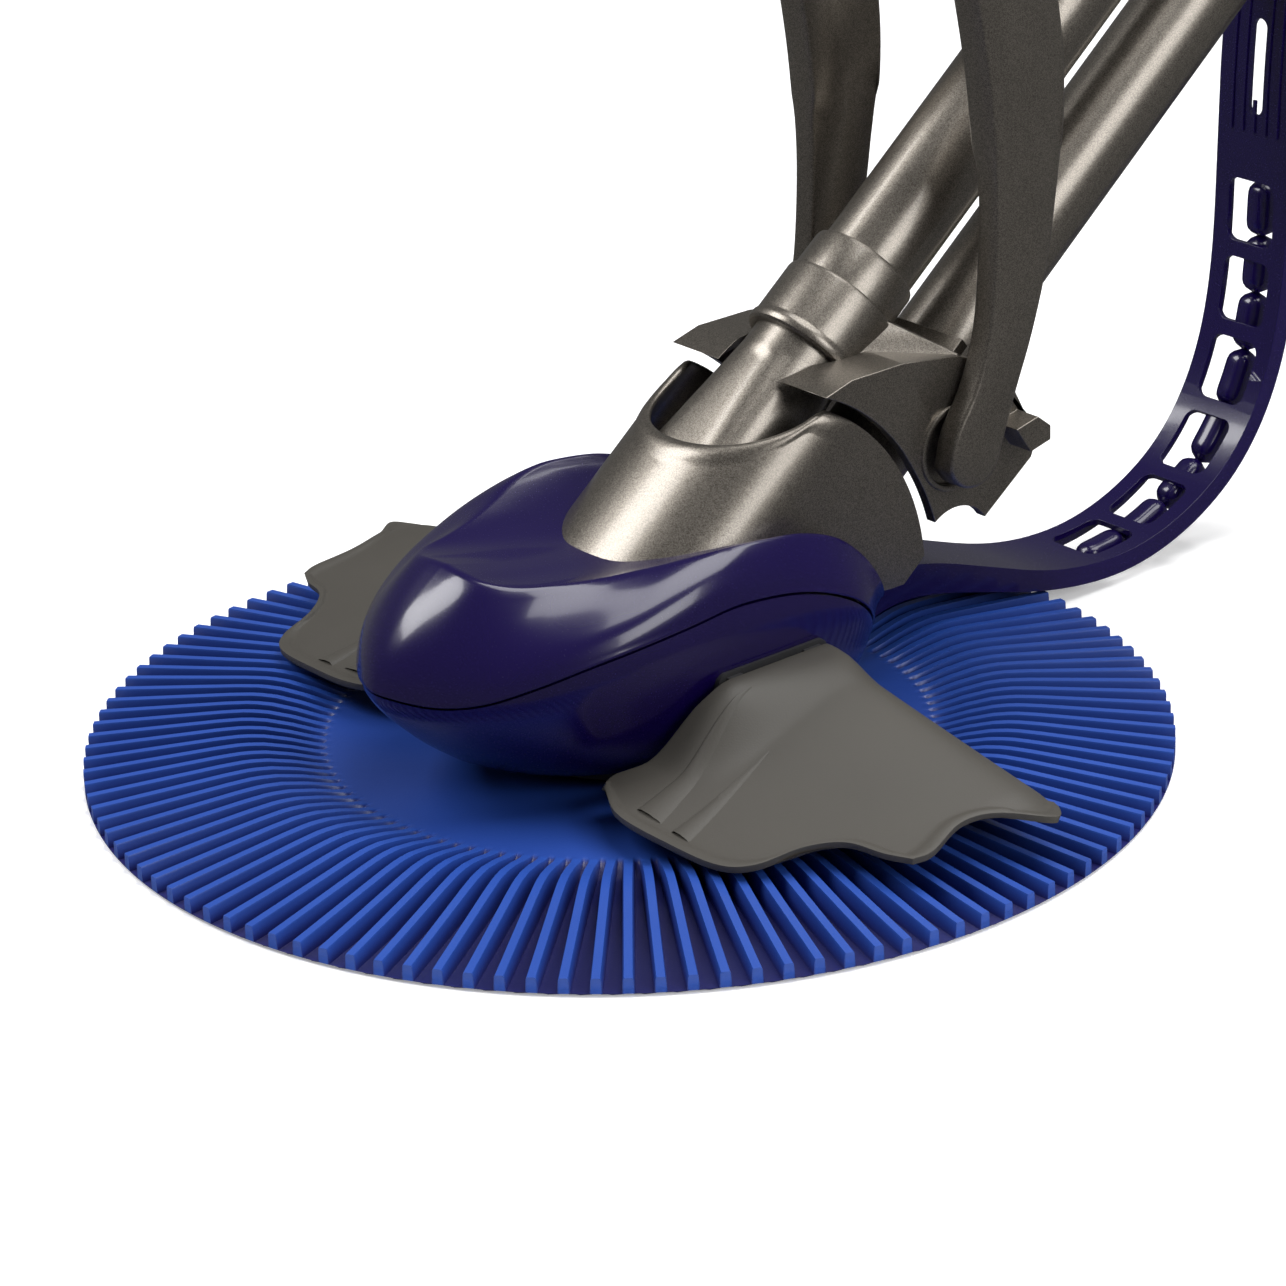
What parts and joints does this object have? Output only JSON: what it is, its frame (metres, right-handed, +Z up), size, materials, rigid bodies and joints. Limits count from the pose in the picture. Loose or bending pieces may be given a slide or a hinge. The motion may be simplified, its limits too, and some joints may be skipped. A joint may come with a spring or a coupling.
{
  "type": "pool cleaner",
  "caption": "Suction-side pool cleaner: pleated floor seal, streamlined head with flapper chamber, paired tilted tubes, carrying handle, side wings, bumper strap and hose swivel.",
  "frame": {"origin": "centre of the suction mouth at the floor", "axes": "+Z up; the nose points along -Y; the tubes rise towards +Y; +X is the cleaner's own left"},
  "size_m": [0.4299, 0.6709, 0.3998],
  "materials": {
    "seal_blue": "satin moulded polyurethane",
    "body_blue": "high gloss",
    "metallic_grey": "metal-flake satin",
    "wing_grey": "fine matte grain",
    "chamber_black": "matte",
    "pad_rubber": "matte",
    "flapper_rubber": "matte",
    "steel": "brushed",
    "weight_iron": "cast, coated"
  },
  "bodies": {
    "chassis": {"foot_flange": "chamber_black", "foot_pad": "pad_rubber", "seal_retaining_ring": "chamber_black", "lower_cover": "body_blue", "upper_cover": "body_blue", "throat_hood": "metallic_grey", "cover_screws": "steel", "nose_weight": "weight_iron", "nose_weight_cradle": "chamber_black", "chamber_shell": "chamber_black", "chamber_side_right": "chamber_black", "chamber_side_left": "chamber_black", "chamber_screws": "steel", "flapper_pin": "steel", "throat_neck": "metallic_grey", "tube_collar": "metallic_grey", "front_tube": "metallic_grey", "rear_tube": "metallic_grey", "tube_rib": "metallic_grey", "tube_o_rings": "pad_rubber", "tube_bracket": "metallic_grey", "top_manifold": "metallic_grey", "swivel_o_ring": "pad_rubber", "swivel_lock_ring": "steel", "right_pivot_pin": "steel", "left_pivot_pin": "steel", "right_wing_bracket": "chamber_black", "left_wing_bracket": "chamber_black", "right_wing_pin": "steel", "left_wing_pin": "steel", "strap_frame": "body_blue", "strap_links": "body_blue", "strap_screws": "steel"},
    "seal": {"pleated_seal": "seal_blue"},
    "flapper": {"flapper": "flapper_rubber"},
    "handle": {"right_arm": "metallic_grey", "left_arm": "metallic_grey", "handle_grip": "metallic_grey", "grip_screws": "steel"},
    "right_wing": {"right_wing": "wing_grey"},
    "left_wing": {"left_wing": "wing_grey"},
    "swivel": {"hose_swivel": "chamber_black"}
  },
  "joints": [
    {"name": "seal_spin", "type": "hinge", "parent": "chassis", "child": "seal", "pos_m": [0, 0, 0.0058], "axis": [0, 0, 1], "continuous": true},
    {"name": "flapper_swing", "type": "hinge", "parent": "chassis", "child": "flapper", "pos_m": [0, 0.02, 0.035], "axis": [1, 0, 0], "range_deg": [-16, 16]},
    {"name": "handle_swing", "type": "hinge", "parent": "chassis", "child": "handle", "pos_m": [0, 0.134, 0.1015], "axis": [1, 0, 0], "range_deg": [-15, 75]},
    {"name": "left_wing_lift", "type": "hinge", "parent": "chassis", "child": "left_wing", "pos_m": [0.077, 0.0145, 0.049], "axis": [0, -1, 0], "range_deg": [0, 18]},
    {"name": "right_wing_lift", "type": "hinge", "parent": "chassis", "child": "right_wing", "pos_m": [-0.077, 0.0145, 0.049], "axis": [0, 1, 0], "range_deg": [0, 18]},
    {"name": "hose_turn", "type": "hinge", "parent": "chassis", "child": "swivel", "pos_m": [0, 0.38641, 0.33847], "axis": [0, 0.7771, 0.6293], "continuous": true}
  ]
}
